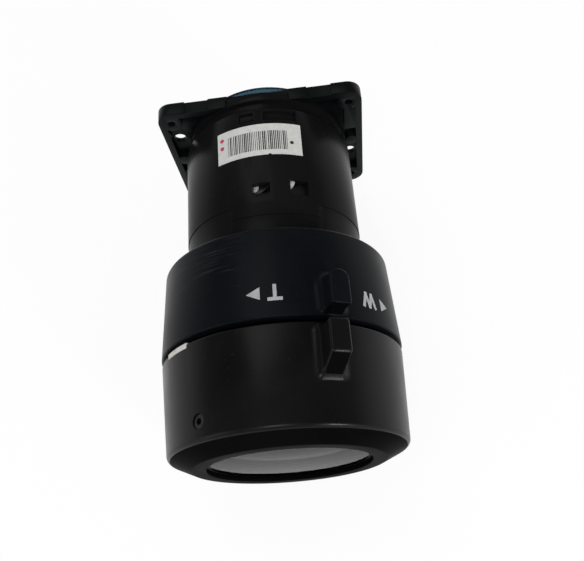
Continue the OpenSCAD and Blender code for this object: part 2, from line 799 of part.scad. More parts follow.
module zoom_marks() {
    station = s_zoom_end - mark_back;
    color(label_white) on_axis() intersection() {
        turned([
            [zoom_surface_r(station - mark_h), station - mark_h],
            [zoom_surface_r(station - mark_h) + mark_t, station - mark_h],
            [zoom_surface_r(station + mark_h) + mark_t, station + mark_h],
            [zoom_surface_r(station + mark_h), station + mark_h]
        ], $fn = glass_fn);
        union() {
            radial_plate(station, left_arrow_turn, zoom_bore_r, zoom_front_r + cut) arrow(-1);
            radial_plate(station, letter_t_turn, zoom_bore_r, zoom_front_r + cut) letter_t();
            radial_plate(station, letter_w_turn, zoom_bore_r, zoom_front_r + cut) letter_w();
            radial_plate(station, right_arrow_turn, zoom_bore_r, zoom_front_r + cut) arrow(1);
        }
    }
}

// Sloping slot of the cam barrel, along which a roller is pushed by the barrel's turn
module cam_slot(station, travel, turn) {
    rise = travel / zoom_turn;
    reach = zoom_turn + slot_spare_turn;
    step = 2 * reach / slot_steps;
    lean = atan(rise * 180 / PI / (cam_r - cam_wall / 2));
    piece = slot_lap_share * 2 * cam_r * tan(step / 2) / cos(lean);
    for (i = [0 : slot_steps - 1]) {
        off = (i + 0.5) * step - reach;
        radial_plate(station - rise * off, turn + off, cam_inner_r - cut, cam_r + cut)
            rotate(lean) square([piece, 2 * slot_r], center = true);
    }
    for (off = [-reach, reach])
        radial_rod(slot_r, station - rise * off, turn + off, cam_inner_r - cut, cam_r + cut);
}

module cam_barrel() {
    color(alloy_grey) on_axis() difference() {
        turned([
            [cam_inner_r, s_cam], [cam_r, s_cam], [cam_r, s_cam + cam_band_w],
            [cam_body_r, s_cam + cam_band_w], [cam_body_r, s_cam_end - cam_band_w],
            [cam_r, s_cam_end - cam_band_w], [cam_r, s_cam_end], [cam_inner_r, s_cam_end]
        ]);
        for (turn = thirds) {
            cam_slot(s_variator_roller, variator_travel, guide_turn + turn);
            cam_slot(s_compensator_roller, compensator_travel, guide_turn + turn);
            radial_rod(cam_pad_r + seat_gap, s_window - cam_pad_r, cam_pad_turn + turn,
                cam_inner_r + cam_wall / 2, cam_r + cut);
        }
        for (turn = drive_turns)
            radial_rod(drive_r + seat_gap, s_drive, turn, cam_inner_r - cut, cam_r + cut);
    }
}

module cam_barrel_pads() {
    color(nylon_white) on_axis() for (turn = thirds)
        radial_rod(cam_pad_r, s_window - cam_pad_r, cam_pad_turn + turn,
            cam_inner_r + cam_wall / 2, cam_r - seat_gap);
}

module zoom_drive_screws() {
    head_to = zoom_surface_r(s_drive) - drive_sink;
    color(steel_grey) on_axis() for (turn = drive_turns) {
        radial_rod(drive_r, s_drive, turn, cam_inner_r + seat_gap, head_to);
        radial_rod(drive_head_r, s_drive, turn, head_to - drive_head_t, head_to);
    }
}

// Pins in a lens cell, and the rollers that turn on them
module follower_pins(station) {
    for (turn = thirds)
        radial_rod(pin_r, station, guide_turn + turn, pin_start_r, pin_end_r);
}

module pin_holes(station) {
    for (turn = thirds)
        radial_rod(pin_r + seat_gap, station, guide_turn + turn, pin_start_r - seat_gap,
            carrier_r + cut);
}

module follower_rollers(station) {
    for (turn = thirds) difference() {
        radial_rod(roller_r, station, guide_turn + turn, carrier_r + seat_gap, roller_end_r);
        radial_rod(pin_r + seat_gap, station, guide_turn + turn, carrier_r - cut,
            pin_end_r + seat_gap);
    }
}

module variator_cell() {
    seat_r = variator_glass_r + seat_gap;
    color(inner_black) on_axis() difference() {
        turned([
            [pin_start_r, s_variator], [carrier_r, s_variator],
            [carrier_r, s_variator + variator_len], [seat_r, s_variator + variator_len],
            [seat_r, s_variator_rear], [variator_clear_r, s_variator_rear],
            [variator_clear_r, s_variator_shelf], [pin_start_r, s_variator_shelf]
        ]);
        pin_holes(s_variator_roller);
    }
}

module variator_lens_rear() {
    color(glass_tint) on_axis() translate([0, 0, s_variator_rear])
        glass(variator_glass_r, variator_clear_r - seat_gap, moving_rim,
            -moving_rim / 3, -moving_rim / 4);
}

module variator_spacer() {
    color(inner_black) on_axis()
        sleeve(variator_glass_r, variator_clear_r, s_variator_spacer, s_variator_front);
}

module variator_lens_front() {
    color(glass_tint) on_axis() translate([0, 0, s_variator_front])
        glass(variator_glass_r, variator_clear_r - seat_gap, moving_rim,
            spacer_t / 2, -moving_rim / 3);
}

module variator_retainer() {
    color(inner_black) on_axis()
        sleeve(variator_glass_r, variator_clear_r, s_variator_retainer,
            s_variator_retainer + retainer_t);
}

module variator_pins() {
    color(steel_grey) on_axis() follower_pins(s_variator_roller);
}

module variator_rollers() {
    color(nylon_white) on_axis() follower_rollers(s_variator_roller);
}

module compensator_cell() {
    seat_r = compensator_glass_r + seat_gap;
    color(inner_black) on_axis() difference() {
        turned([
            [compensator_clear_r, s_compensator], [carrier_r, s_compensator],
            [carrier_r, s_compensator + compensator_len],
            [seat_r, s_compensator + compensator_len], [seat_r, s_aperture],
            [compensator_clear_r, s_aperture]
        ]);
        pin_holes(s_compensator_roller);
    }
}

module aperture_ring() {
    color(inner_black) on_axis()
        sleeve(compensator_glass_r, aperture_r, s_aperture, s_compensator_glass);
}

module compensator_lens() {
    color(glass_tint) on_axis() translate([0, 0, s_compensator_glass])
        glass(compensator_glass_r, compensator_clear_r - seat_gap, moving_rim,
            0, moving_rim / 3);
}

module compensator_retainer() {
    color(inner_black) on_axis()
        sleeve(compensator_glass_r, compensator_clear_r, s_compensator_retainer,
            s_compensator_retainer + retainer_t);
}

module compensator_pins() {
    color(steel_grey) on_axis() follower_pins(s_compensator_roller);
}

module compensator_rollers() {
    color(nylon_white) on_axis() follower_rollers(s_compensator_roller);
}

module front_cell() {
    color(inner_black) on_axis() difference() {
        turned([
            [tail_bore_r, s_tail], [tail_r, s_tail], [tail_r, s_cell], [cell_r, s_cell],
            [cell_r, s_cell_flange], [cell_flange_r, s_cell_flange],
            [cell_flange_r, s_cell_flange_end], [head_r, s_cell_flange_end],
            [head_r, s_head_end], [cell_bore_r, s_head_end], [cell_bore_r, s_middle],
            [cell_shelf_r, s_middle], [cell_shelf_r, s_tail_shelf + shelf_t],
            [tail_clear_r, s_tail_shelf + shelf_t], [tail_clear_r, s_tail_shelf],
            [tail_bore_r, s_tail_shelf]
        ]);
        for (turn = key_turns)
            radial_rod(key_r + seat_gap, s_key, turn, cell_r - key_in - seat_gap, cell_r + cut);
    }
}

module front_lens() {
    clear = cell_clear_r - seat_gap;
    color(glass_tint) on_axis() {
        translate([0, 0, s_front_glass]) glass(cell_glass_r, clear, front_rim, -front_rim / 2, 0);
        translate([0, 0, s_front_retainer])
            glass(clear, clear - seat_gap, front_step, 0, front_step / 2);
    }
}

module front_spacer() {
    color(inner_black) on_axis()
        sleeve(cell_glass_r, cell_clear_r, s_front_spacer, s_front_glass);
}

module middle_lens() {
    color(glass_tint) on_axis() translate([0, 0, s_middle])
        glass(cell_glass_r, cell_shelf_r - seat_gap, middle_rim,
            -middle_rim / 3, middle_rim / 4);
}

module tail_lens() {
    color(glass_tint) on_axis() translate([0, 0, s_tail_glass])
        glass(tail_glass_r, tail_clear_r - seat_gap, tail_rim, -tail_rim / 6, tail_rim / 3);
}

module tail_retainer() {
    color(inner_black) on_axis()
        sleeve(tail_glass_r, tail_clear_r, s_tail, s_tail_glass);
}

module front_retainer() {
    color(inner_black) on_axis()
        sleeve(cell_glass_r, cell_clear_r, s_front_retainer, s_front_retainer_end);
}

module front_keys() {
    color(steel_grey) on_axis() for (turn = key_turns)
        radial_rod(key_r, s_key, turn, cell_r - key_in, thread_r - free_gap);
}

// Finger tab of the focus ring, which falls in a slope to the front
module focus_tab() {
    from = s_focus + focus_tab_from;
    s_slope = from + focus_tab_len;
    s_foot = s_slope + focus_tab_slope;
    foot_r = focus_surface_r(s_foot);
    base_r = (focus_bore_r + foot_r) / 2;
    at_turn(focus_tab_turn) rotate([90, 0, 90]) translate([0, 0, -tab_w / 2])
        linear_extrude(tab_w) polygon([
            [base_r, from], [focus_tab_r, from], [focus_tab_r, s_slope],
            [foot_r, s_foot], [base_r, s_foot]
        ]);
}

module focus_ring() {
    color(ring_black) on_axis() difference() {
        union() {
            turned([
                [focus_bore_r, s_focus], [focus_rear_r - ring_chamfer, s_focus],
                [focus_surface_r(s_focus + ring_chamfer), s_focus + ring_chamfer],
                [focus_front_r, s_corner], [nose_r, s_nose], [opening_r, s_nose],
                [opening_r, s_lip], [nose_r, s_lip], [focus_bore_r, s_cone]
            ]);
            focus_tab();
        }
        sleeve_part(focus_rear_r + cut, focus_bore_r - cut, s_focus - cut,
            s_focus + pad_notch, pad_turns);
        for (turn = grub_turns)
            radial_rod(grub_r + seat_gap, s_grub, turn, focus_bore_r - cut, focus_rear_r + cut);
    }
}

module helicoid_ring() {
    color(alloy_grey) on_axis() difference() {
        turned([
            [helicoid_bore_r, s_helicoid], [helicoid_r, s_helicoid],
            [helicoid_r, s_helicoid_end], [capture_recess_r, s_helicoid_end],
            [capture_recess_r, s_shoulder], [helicoid_bore_r, s_shoulder]
        ]);
        for (turn = grub_turns)
            radial_rod(grub_r + seat_gap, s_grub, turn, grub_tip_r - seat_gap, helicoid_r + cut);
    }
}

module cell_capture_ring() {
    color(alloy_grey) on_axis()
        sleeve(capture_recess_r - seat_gap, capture_bore_r, s_capture, s_helicoid_end);
}

module focus_grub_screws() {
    color(steel_grey) on_axis() for (turn = grub_turns)
        radial_rod(grub_r, s_grub, turn, grub_tip_r, focus_surface_r(s_grub) - grub_sink);
}

module glide_pad() {
    play_turn = seat_gap * 180 / PI / focus_bore_r;
    color(nylon_white) on_axis()
        sleeve_part(focus_surface_r(s_focus) - seat_gap, focus_bore_r + seat_gap,
            s_focus - pad_proud, s_focus + pad_notch,
            [pad_turns[0] + play_turn, pad_turns[1] - play_turn]);
}

mount_flange();
flange_screws();
fixed_barrel();
barrel_label();
rear_cell();
rear_lens_back();
rear_lens_spacer();
rear_lens_front();
rear_lens_retainer();
zoom_ring();
zoom_marks();
cam_barrel();
cam_barrel_pads();
zoom_drive_screws();
variator_cell();
variator_lens_rear();
variator_spacer();
variator_lens_front();
variator_retainer();
variator_pins();
variator_rollers();
compensator_cell();
aperture_ring();
compensator_lens();
compensator_retainer();
compensator_pins();
compensator_rollers();
front_cell();
front_lens();
front_spacer();
middle_lens();
tail_lens();
tail_retainer();
front_retainer();
front_keys();
focus_ring();
helicoid_ring();
cell_capture_ring();
focus_grub_screws();
glide_pad();
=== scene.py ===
# %% [markdown]
# # A zoom lens for a projector
# The lens lies on a pale floor and is seen from the front and above. Its working parts come from the CAD
# frame. The pieces that the eye meets first, the flange, the barrel and the two rings, are made again here
# with soft edges, because moulded plastic has no sharp ones and the light shows it.
# Places are given as on a lathe: a radius from the optical axis, a station (how far in front of the
# flange's rear face) and a turn round the axis, clockwise from the top as seen from the front.

# %% The frame
import json
import math
import bmesh
import bpy
from mathutils import Matrix, Vector


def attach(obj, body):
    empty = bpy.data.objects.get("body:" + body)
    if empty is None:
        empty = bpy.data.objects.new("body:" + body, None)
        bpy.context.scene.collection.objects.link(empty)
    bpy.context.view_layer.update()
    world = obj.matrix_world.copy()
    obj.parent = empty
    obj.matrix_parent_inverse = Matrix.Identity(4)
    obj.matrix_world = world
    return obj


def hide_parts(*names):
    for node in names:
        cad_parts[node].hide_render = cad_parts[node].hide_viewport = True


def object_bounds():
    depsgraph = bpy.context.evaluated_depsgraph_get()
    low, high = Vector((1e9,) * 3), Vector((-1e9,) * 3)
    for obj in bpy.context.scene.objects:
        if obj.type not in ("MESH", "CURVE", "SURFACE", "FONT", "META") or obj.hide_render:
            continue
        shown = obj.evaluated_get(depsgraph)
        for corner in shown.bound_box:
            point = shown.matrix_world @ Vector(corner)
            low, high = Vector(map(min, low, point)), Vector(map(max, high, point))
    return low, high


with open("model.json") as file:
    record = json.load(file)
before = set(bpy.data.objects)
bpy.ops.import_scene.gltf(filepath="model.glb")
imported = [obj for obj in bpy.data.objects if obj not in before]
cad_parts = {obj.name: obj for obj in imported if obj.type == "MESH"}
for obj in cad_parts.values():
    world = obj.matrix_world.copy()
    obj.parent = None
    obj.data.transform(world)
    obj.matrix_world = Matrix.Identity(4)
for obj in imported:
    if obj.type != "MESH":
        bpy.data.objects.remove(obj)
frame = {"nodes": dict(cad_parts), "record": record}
start_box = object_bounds()
MM = 0.001
ZOOM_FROM, ZOOM_TO, ZOOM_REAR_R, ZOOM_FRONT_R = 45.7, 68.1, 28.6, 29.66
FOCUS_FROM, CORNER, FOCUS_REAR_R, FOCUS_FRONT_R = 69.4, 91.2, 29.48, 28.38
NOSE_END, NOSE_R, OPENING_R = 93.8, 22.8, 19.4
NECK_R = 23.0
print("nodes in the frame:", len(frame["nodes"]))

# %% [markdown]
# ## Camera
# The picture was taken from in front and above with a short telephoto view. The matrix was worked out from
# the flange's corners and the rings' outlines, so that perspective agrees everywhere at once. It can't be
# set by eye, because distance and focal length trade against each other.

# %% Camera
PICTURE_W, FOCAL_PX = 584, 678.88
camera_data = bpy.data.cameras.new("camera")
camera = bpy.data.objects.new("camera", camera_data)
bpy.context.scene.collection.objects.link(camera)
bpy.context.scene.camera = camera
camera_data.sensor_width = 36
camera_data.lens = camera_data.sensor_width * FOCAL_PX / PICTURE_W
camera_data.clip_start = 0.005
camera.matrix_world = Matrix((
    (0.9921, 0.1100, 0.0600, 14.659 * MM),
    (-0.0738, 0.8998, -0.4300, -122.857 * MM),
    (-0.1013, 0.4222, 0.9008, 160.736 * MM),
    (0, 0, 0, 1)))
print("focal length in mm:", round(camera_data.lens, 2))

# %% [markdown]
# ## A small language for nodes
# Shader and geometry trees are long to write by hand. This class wraps one output of a node, so that
# `mask * 0.5 + 1` adds the Math nodes itself, and `add` makes any other node: its type, its settings, and
# the values or wires of its inputs.

# %% Wires
class Wire:
    def __init__(self, tree, socket=None):
        self.tree, self.socket = tree, socket

    def add(self, kind, inputs=None, out=0, stops=None, **settings):
        node = self.tree.nodes.new(kind)
        for name, value in settings.items():
            setattr(node, name, value)
        for index, (place, colour) in enumerate(stops or []):
            points = node.color_ramp.elements
            point = points[index] if index < 2 else points.new(place)
            point.position, point.color = place, (*colour, 1)
        for key, value in (inputs or {}).items():
            if isinstance(value, Wire):
                self.tree.links.new(value.socket, node.inputs[key])
            else:
                node.inputs[key].default_value = value
        return Wire(self.tree, node.outputs[out])

    def math(self, operation, *values, clamp=False):
        return self.add("ShaderNodeMath", dict(enumerate(values)), operation=operation, use_clamp=clamp)

    def __add__(self, other):
        return self.math("ADD", self, other)

    def __sub__(self, other):
        return self.math("SUBTRACT", self, other)

    def __rsub__(self, other):
        return self.math("SUBTRACT", other, self)

    def __mul__(self, other):
        return self.math("MULTIPLY", self, other)

    def __gt__(self, other):
        return self.math("GREATER_THAN", self, other)

    def __lt__(self, other):
        return self.math("LESS_THAN", self, other)

    __radd__ = __add__
    __rmul__ = __mul__

    def between(self, low, high):
        return (self > low) * (self < high)

    def ramp(self, low, high):
        """0 below low and 1 above high, with a straight run between them."""
        return self.math("MULTIPLY", self - low, 1 / (high - low), clamp=True)

    def mix(self, first, second):
        """The colour first where this wire is 0 and second where it is 1."""
        return self.add("ShaderNodeMix", {0: self, 6: first, 7: second}, out=2, data_type="RGBA")

    def noise(self, where, scale, detail=2.0, stretch=None):
        if stretch:
            where = self.add("ShaderNodeVectorMath", {0: where, 1: stretch}, operation="MULTIPLY")
        return self.add("ShaderNodeTexNoise", {"Vector": where, "Scale": scale, "Detail": detail})

    def into(self, node, name):
        self.tree.links.new(self.socket, node.inputs[name])


def new_finish(name, **constants):
    """A material, its main shader and a wire to start from. A word's underscores stand for spaces."""
    material = bpy.data.materials.new(name)
    material.use_nodes = True
    shader = material.node_tree.nodes["Principled BSDF"]
    for key, value in constants.items():
        shader.inputs[key.replace("_", " ")].default_value = value
    return material, shader, Wire(material.node_tree)


def lathe_places(tree):
    """Wires of the object place, the turn in degrees, the station and the radius in mm."""
    place = tree.add("ShaderNodeTexCoord", out=3)
    parts = place.add("ShaderNodeSeparateXYZ", {0: place})
    x, y, z = (Wire(tree.tree, parts.socket.node.outputs[axis]) for axis in range(3))
    turn = x.math("ARCTAN2", x, z) * math.degrees(1)
    radius = x.math("SQRT", x * x + z * z) * (1 / MM)
    return place, turn, y * (-1 / MM), radius

# %% [markdown]
# ## Light
# The lens lies on a white ground in a dim room. The ground and the air over it are white to the camera and
# to every mirror-like ray, and for these the room gets darker towards the ceiling, because a black gloss
# shows its form by what it mirrors: white at the flanks, dark on top. The light on matt surfaces is a
# little weaker than white, so that colours come out as they are written. Four soft lamps add the glints.
# The one at the right is low and in front, so that only edges and fillets which lean forwards mirror it.

# %% World and lamps
ROOM_LIGHT, CEILING, LAMP_LIGHT = 0.62, 0.12, 0.24
world = bpy.data.worlds.new("white_room")
bpy.context.scene.world = world
world.use_nodes = True
room = Wire(world.node_tree)
rays = room.add("ShaderNodeLightPath")


def ray(name):
    return Wire(world.node_tree, rays.socket.node.outputs[name])


way_up = room.add("ShaderNodeSeparateXYZ", {0: room.add("ShaderNodeTexCoord", out=0)}, out=2)
mirrored = 1 - way_up.ramp(0.02, 0.35) * (1 - CEILING)
mirror_ray = mirrored.math("MAXIMUM", ray("Is Glossy Ray"), ray("Is Transmission Ray"))
camera_ray = ray("Is Camera Ray")
strength = mirror_ray * mirrored + (1 - mirror_ray) * (camera_ray * (1 - ROOM_LIGHT) + ROOM_LIGHT)
strength.into(world.node_tree.nodes["Background"], "Strength")
world.node_tree.nodes["Background"].inputs["Color"].default_value = (1, 1, 1, 1)


def soft_lamp(name, place, aim, size, light):
    """A square lamp that lights a white card at its aim to the given share of white."""
    data = bpy.data.lights.new(name, "AREA")
    lamp = bpy.data.objects.new(name, data)
    bpy.context.scene.collection.objects.link(lamp)
    way = Vector(aim) - Vector(place)
    lamp.location = Vector(place)
    lamp.rotation_mode = "QUATERNION"
    lamp.rotation_quaternion = way.to_track_quat("-Z", "Y")
    data.size = size
    data.energy = light * math.pi ** 2 * way.length_squared
    return lamp


LENS_CENTRE = (0, -0.047, 0)
soft_lamp("lamp_above", (-0.15, 0.3, 0.7), LENS_CENTRE, 0.4, LAMP_LIGHT / 1.6)
soft_lamp("lamp_front", (-0.07, -0.43, 0.58), LENS_CENTRE, 0.12, LAMP_LIGHT)
soft_lamp("lamp_right", (0.375, -0.50, 0.22), LENS_CENTRE, 0.12, LAMP_LIGHT * 1.6)
soft_lamp("lamp_left", (-0.7, -0.35, 0.35), LENS_CENTRE, 0.4, LAMP_LIGHT / 2)
bpy.context.scene.view_settings.view_transform = "Standard"
print("room light", ROOM_LIGHT, "and strongest lamp", LAMP_LIGHT)

# %% [markdown]
# ## Black moulded plastic
# The shell is black glass-filled plastic with a fine spark-eroded grain. Its colour hardly varies, so the
# grain does the work: a fine bump breaks the mirror image up, and slow clouds in the roughness make the
# glints uneven. A few dust specks keep it from looking drawn. All of it is noise on Object coordinates.

# %% Black finishes
def moulded_black(name, dark, light, rough, shine, grain=0.2, dust=0.012):
    material, shader, tree = new_finish(name, Specular_IOR_Level=shine)
    place, turn, station, radius = lathe_places(tree)
    cloud = tree.noise(place, 70, 3)
    specks = tree.noise(place, 1900, 1).ramp(0.72, 0.78)
    base = cloud.ramp(0.3, 0.7).mix((*dark, 1), (*light, 1))
    dusty = (specks * dust).mix(base, (0.5, 0.5, 0.5, 1))
    dusty.into(shader, "Base Color")
    (rough + cloud.ramp(0.35, 0.75) * 0.1 + specks * 0.2).into(shader, "Roughness")
    bump = tree.add("ShaderNodeBump", {"Strength": grain, "Distance": 0.00004,
                                       "Height": tree.noise(place, 2600, 2)})
    bump.into(shader, "Normal")
    return material, shader, tree


finishes = {}
finishes["black_casting"] = moulded_black("black_casting", (0.002, 0.0028, 0.003), (0.004, 0.005, 0.0055),
                                          0.34, 0.08)[0]
finishes["black_barrel"] = moulded_black("black_barrel", (0.005, 0.005, 0.0054), (0.0065, 0.0065, 0.007),
                                         0.24, 0.05)[0]
finishes["black_inner"] = moulded_black("black_inner", (0.010, 0.010, 0.010), (0.016, 0.016, 0.016),
                                        0.5, 0.2, grain=0.04, dust=0.0)[0]
# The next finish is a darker copy of the ring's black that mirrors almost nothing. It is painted shade for
# the faces that look forward, and stands in for a dark room in front.
finishes["black_painted_shade"] = moulded_black("black_painted_shade", (0.002, 0.002, 0.002), (0.003, 0.003, 0.003),
                                       0.3, 0.002)[0]
finishes["black_ring"] = moulded_black("black_ring", (0.003, 0.003, 0.003), (0.005, 0.005, 0.005),
                                       0.26, 0.13)[0]
print("black finishes:", list(finishes))

# %% [markdown]
# ## The zoom ring's finish
# The zoom ring is the same plastic, a touch bluer and duller. Faint rub marks run round it near its rear
# edge at the left, where fingers and the carton touched. They are long noise streaks, so the noise is read
# in turn and station instead of x, y and z: there a streak round the ring is a straight line.

# %% Zoom ring finish
zoom_black, shader, tree = moulded_black("black_zoom", (0.0035, 0.0042, 0.0054), (0.0045, 0.0054, 0.0068),
                                         0.28, 0.045)
place, turn, station, radius = lathe_places(tree)
unrolled = tree.add("ShaderNodeCombineXYZ", {0: turn * 0.02, 1: station, 2: 0.0})
streaks = tree.noise(unrolled, 2.6, 5).ramp(0.54, 0.8)
rubbed = streaks * station.between(46.2, 56) * turn.between(-62, -8)
rough_now = shader.inputs["Roughness"].links[0].from_socket
colour_now = shader.inputs["Base Color"].links[0].from_socket
(rubbed * 0.07).mix(Wire(tree.tree, colour_now), (0.3, 0.3, 0.32, 1)).into(shader, "Base Color")
(rubbed * 0.12 + Wire(tree.tree, rough_now)).into(shader, "Roughness")
finishes["black_zoom"] = zoom_black

# %% [markdown]
# ## Metal, nylon and print
# The helicoid and the cam barrel are black anodised aluminium, turned, so their roughness has fine rings
# along the station. Screws are blackened steel. Nylon lets light in below its surface, which a little
# subsurface gives. The marks are silk-screened, so the ink is thin and slightly broken.

# %% Metal, nylon and print
def turned_metal(name, colour, rough):
    material, shader, tree = new_finish(name, Metallic=0.9)
    place, turn, station, radius = lathe_places(tree)
    rings = tree.add("ShaderNodeCombineXYZ", {0: station * 9, 1: radius * 9, 2: turn * 0.01})
    lines = tree.noise(rings, 1.0, 2)
    lines.mix((*(c * 0.8 for c in colour), 1), (*colour, 1)).into(shader, "Base Color")
    (rough + lines * 0.2).into(shader, "Roughness")
    return material


def pale_solid(name, colour, shade, rough, scatter=0.0):
    material, shader, tree = new_finish(name, Subsurface_Weight=scatter, Subsurface_Scale=0.0006)
    place = lathe_places(tree)[0]
    cloud = tree.noise(place, 420, 3).ramp(0.35, 0.7)
    cloud.mix((*colour, 1), (*shade, 1)).into(shader, "Base Color")
    (rough + cloud * 0.12).into(shader, "Roughness")
    return material


finishes["black_alloy"] = turned_metal("black_alloy", (0.05, 0.05, 0.055), 0.3)
finishes["steel"] = turned_metal("steel", (0.035, 0.035, 0.04), 0.3)
finishes["white_nylon"] = pale_solid("white_nylon", (0.52, 0.52, 0.50), (0.43, 0.42, 0.39), 0.4, 0.2)
finishes["white_print"] = pale_solid("white_print", (0.36, 0.37, 0.37), (0.27, 0.28, 0.29), 0.55)
print("finishes so far:", len(finishes))

# %% [markdown]
# ## Coated glass
# The lenses carry an anti-reflection coating, so they mirror less than bare glass. The front group looks
# grey against its dark tube, and the rear glass is tinted a deep teal by its coating. The tint and an
# index of refraction below that of glass stand for the coatings, because the index sets how much is
# mirrored.

# %% Glass
def coated(name, clear, hazed, index):
    material, shader, tree = new_finish(name, Transmission_Weight=1.0, IOR=index)
    haze = tree.noise(lathe_places(tree)[0], 60, 3).ramp(0.45, 0.75)
    haze.mix((*clear, 1), (*hazed, 1)).into(shader, "Base Color")
    (0.01 + haze * 0.03).into(shader, "Roughness")
    return material


finishes["coated_glass"] = coated("coated_glass", (0.45, 0.43, 0.42), (0.36, 0.345, 0.335), 1.07)
finishes["teal_glass"] = coated("teal_glass", (0.045, 0.10, 0.14), (0.03, 0.06, 0.10), 1.3)

# %% [markdown]
# ## The label
# A paper label on the neck with a printed bar pattern. The bars are a rule, not a picture: the label is cut
# into equal cells along the turn, each cell holds one bar, and a hash of the cell's number sets its width.

# %% Label finish
LABEL_TURNS, LABEL_STATIONS = (-28, 27.3), (12.4, 21.9)
label, shader, tree = new_finish("label_paper", Specular_IOR_Level=0.3)
place, turn, station, radius = lathe_places(tree)
pitch = turn * 0.85
cell = pitch.math("FLOOR", pitch)
width = tree.add("ShaderNodeTexWhiteNoise", {"W": cell}, noise_dimensions="1D") * 0.45 + 0.3
bars = (pitch - cell < width) * turn.between(-20.5, 18) * station.between(14.6, 20.4)


def dot(turn_at, station_at, size):
    """1 inside a round spot on the neck."""
    across = (turn - turn_at) * (math.pi / 180 * NECK_R)
    along = station - station_at
    return (across * across + along * along) < size * size


fibre = tree.noise(place, 900, 3).ramp(0.3, 0.7)
paper = fibre.mix((0.54, 0.54, 0.52, 1), (0.47, 0.47, 0.45, 1))
black_ink = bars.math("MAXIMUM", bars, dot(20.8, 18.2, 0.5))
paper = black_ink.mix(paper, (0.02, 0.02, 0.02, 1))
pink_ink = bars.math("MAXIMUM", dot(-24.6, 14.8, 0.6), dot(-24.6, 17.2, 0.6))
pink_ink.mix(paper, (0.40, 0.04, 0.10, 1)).into(shader, "Base Color")
(0.5 + fibre * 0.1).into(shader, "Roughness")
finishes["label_paper"] = label

# %% [markdown]
# ## Dressing the frame
# Most inner pieces keep the frame's own mesh and only get a finish. The record gives each piece's material
# slot, so one loop dresses them all, and a piece that is added later is dressed by itself. The rear glass
# is the one exception, because its coating looks different from that of the other glasses.

# %% Finishes on the frame's own pieces
for part in frame["record"]["subparts"]:
    node = frame["nodes"][part["node"]]
    for place_on_node in node.material_slots:
        place_on_node.material = finishes[part["material_slot"]]
        if part["node"] == "rear_lens_back":
            place_on_node.material = finishes["teal_glass"]
print("pieces dressed:", len(frame["nodes"]))

# %% [markdown]
# ## Pieces with softened edges
# The frame's solids have knife edges. A merged copy of a solid, with its flat faces joined and a narrow
# bevel on every edge sharper than the limit, gets the small radii of a mould. The copy keeps every hole
# and slot of the solid, which would be slow to model again.

# %% Softened copies
def settle(obj):
    """Turns the evaluated object into a plain mesh and takes its modifiers off."""
    bpy.context.view_layer.update()
    seen_by = obj.evaluated_get(bpy.context.evaluated_depsgraph_get())
    mesh = bpy.data.meshes.new_from_object(seen_by)
    obj.modifiers.clear()
    obj.data = mesh
    return obj


def shade(obj, sharp=32):
    obj.data.shade_smooth()
    obj.data.set_sharp_from_angle(angle=math.radians(sharp))


def add_piece(name, mesh, finish):
    obj = bpy.data.objects.new(name, mesh)
    bpy.context.scene.collection.objects.link(obj)
    mesh.materials.clear()
    mesh.materials.append(finishes[finish])
    return obj


def hand_over(obj, body, finish, *nodes):
    """The finished piece rides on its body and stands for the frame's nodes."""
    shade(obj)
    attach(obj, body)
    if nodes:
        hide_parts(*nodes)
    print(obj.name, "polygons:", len(obj.data.polygons))


def softened(node, body, finish, width, sharp=30, segments=2):
    form = bmesh.new()
    form.from_mesh(frame["nodes"][node].data)
    form.transform(frame["nodes"][node].matrix_world)
    bmesh.ops.remove_doubles(form, verts=form.verts, dist=0.002 * MM)
    bmesh.ops.dissolve_limit(form, angle_limit=math.radians(0.4), verts=form.verts, edges=form.edges)
    mesh = bpy.data.meshes.new("soft_" + node)
    form.to_mesh(mesh)
    form.free()
    obj = add_piece("soft_" + node, mesh, finish)
    bevel = obj.modifiers.new("edge", "BEVEL")
    bevel.width, bevel.segments, bevel.limit_method = width * MM, segments, "ANGLE"
    bevel.angle_limit = math.radians(sharp)
    hand_over(settle(obj), body, finish, node)
    return obj


softened("mount_flange", "barrel", "black_casting", 0.16)
softened("fixed_barrel", "barrel", "black_barrel", 0.12)
softened("glide_pad", "focus", "white_nylon", 0.1)
softened("rear_cell", "barrel", "black_inner", 0.1)

# %% [markdown]
# ## A ring from its section
# A ring is its section carried round the axis. The Geometry Nodes tree makes a grid, reads the section's
# point for each row and turns it by the column, so the section stays an editable list and the number of
# steps is one input. A Screw modifier would do it too, but gives no hold on single points later.

